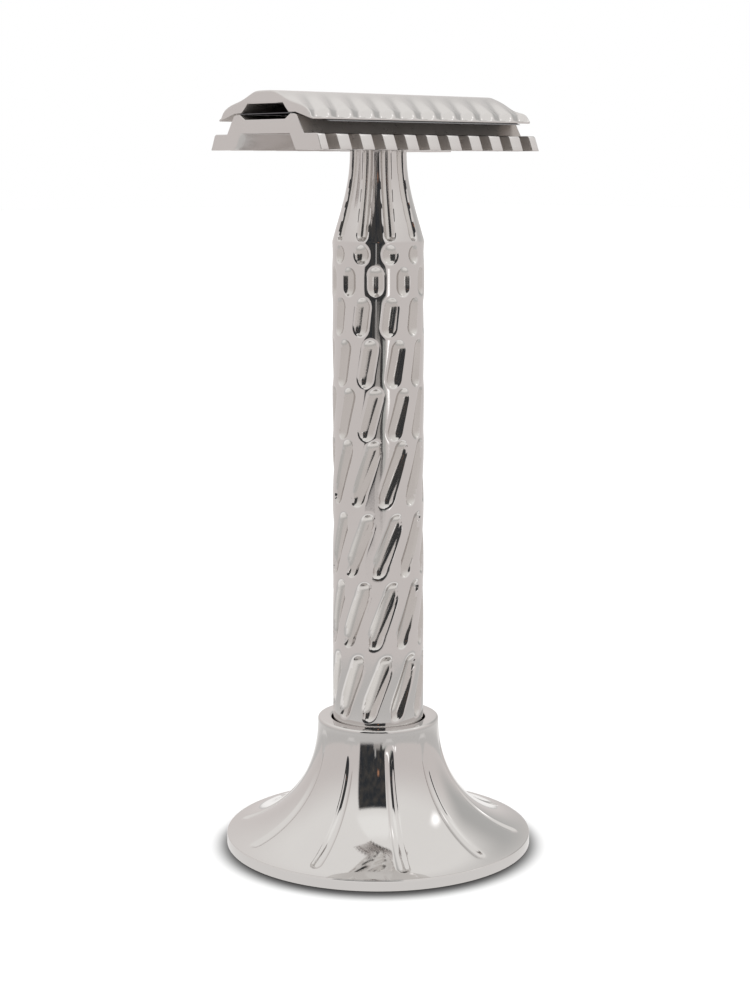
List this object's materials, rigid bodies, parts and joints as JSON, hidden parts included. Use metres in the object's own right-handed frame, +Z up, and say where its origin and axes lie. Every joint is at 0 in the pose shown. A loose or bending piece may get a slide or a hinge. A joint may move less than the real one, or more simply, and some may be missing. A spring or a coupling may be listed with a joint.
{
  "type": "safety razor",
  "caption": "Three-piece double-edge safety razor with an open comb head and a pocketed round handle, standing upright in a flared metal stand with a round socket.",
  "frame": {"origin": "centre of the stand's footprint, on the surface that it stands on", "axes": "+Z up along the handle, +X along the head's length, +Y across the head towards its rear edge"},
  "size_m": [0.0458, 0.0458, 0.112],
  "materials": {
    "polished_metal": "mirror polished, faintly warm",
    "satin_metal": "fine satin",
    "blade_steel": "dark coated strip with ground edges",
    "brass": "turned",
    "plain_steel": "turned, dull",
    "rubber": "matt"
  },
  "bodies": {
    "stand": {"stand_body": "polished_metal", "socket_pad": "rubber", "stand_weight": "plain_steel", "base_pad": "rubber"},
    "handle": {"handle_body": "polished_metal", "handle_end_plug": "plain_steel", "thread_insert": "brass"},
    "plate": {"base_plate": "satin_metal"},
    "blade": {"blade": "blade_steel"},
    "cap": {"top_cap": "satin_metal", "cap_stud": "brass", "alignment_pin_left": "plain_steel", "alignment_pin_right": "plain_steel"}
  },
  "joints": [
    {"name": "razor_lift", "type": "slide", "parent": "stand", "child": "handle", "axis": [0, 0, 1], "range_m": [0, 0.02]},
    {"name": "head_turn", "type": "hinge", "parent": "handle", "child": "plate", "pos_m": [0, 0, 0.1038], "axis": [0, 0, 1], "range_deg": [0, 2880]},
    {"name": "cap_lift", "type": "slide", "parent": "plate", "child": "cap", "axis": [0, 0, 1], "range_m": [0, 0.0065]},
    {"name": "blade_lift", "type": "slide", "parent": "plate", "child": "blade", "axis": [0, 0, 1], "range_m": [0, 0.0033]}
  ],
  "couplings": [
    {"joint": "cap_lift", "follows": "head_turn", "m_per_rad": 0.00012732},
    {"joint": "blade_lift", "follows": "head_turn", "m_per_rad": 0.000063662}
  ]
}
